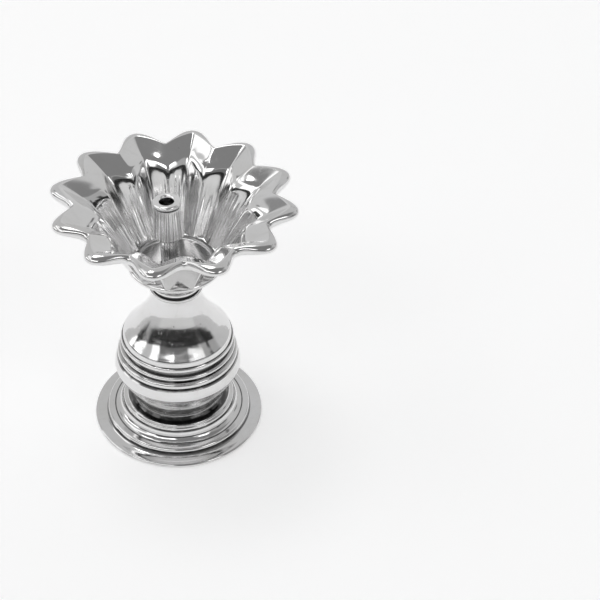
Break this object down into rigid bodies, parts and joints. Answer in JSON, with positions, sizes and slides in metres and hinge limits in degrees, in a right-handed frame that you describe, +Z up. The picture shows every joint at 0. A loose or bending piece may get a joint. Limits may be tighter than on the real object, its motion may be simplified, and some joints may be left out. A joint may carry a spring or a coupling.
{
  "type": "lotus oil lamp",
  "caption": "Lotus aarti lamp: petalled oil bowl with a hollow wick post, screwed onto a turned hollow pedestal with a stepped round foot.",
  "frame": {"origin": "centre of the foot, on the plane that the foot rests on", "axes": "+Z up along the axis of the pedestal; -Y faces the viewer, so +X is to the viewer's right"},
  "size_m": [0.0636, 0.0636, 0.0762],
  "materials": {
    "plated_shell": "silver-plated brass, mirror polished",
    "plated_bowl": "silver-plated brass, polished",
    "plated_post": "silver-plated brass, polished",
    "zinc_steel": "zinc-plated steel",
    "black_rubber": "matt black"
  },
  "bodies": {
    "pedestal": {"foot": "plated_shell", "barrel": "plated_shell", "dome": "plated_shell", "stem_bush": "zinc_steel", "tie_rod": "zinc_steel", "foot_washer": "zinc_steel", "spring_washer": "zinc_steel", "foot_nut": "zinc_steel"},
    "seal": {"neck_washer": "black_rubber"},
    "bowl": {"bowl_saucer": "plated_bowl", "petal_bowl": "plated_bowl", "bowl_stud": "zinc_steel", "wick_spigot": "plated_post"},
    "post": {"wick_post": "plated_post"}
  },
  "joints": [
    {"name": "bowl_rise", "type": "slide", "parent": "pedestal", "child": "seal", "axis": [0, 0, 1], "range_m": [0, 0.006]},
    {"name": "bowl_turn", "type": "hinge", "parent": "seal", "child": "bowl", "pos_m": [0, 0, 0.0473], "axis": [0, 0, 1], "range_deg": [0, 2160]},
    {"name": "wick_lift", "type": "slide", "parent": "bowl", "child": "post", "axis": [-0.0349, 0, 0.9994], "range_m": [0, 0.012]}
  ],
  "couplings": [
    {"joint": "bowl_rise", "follows": "bowl_turn", "m_per_rad": 0.00015915}
  ]
}
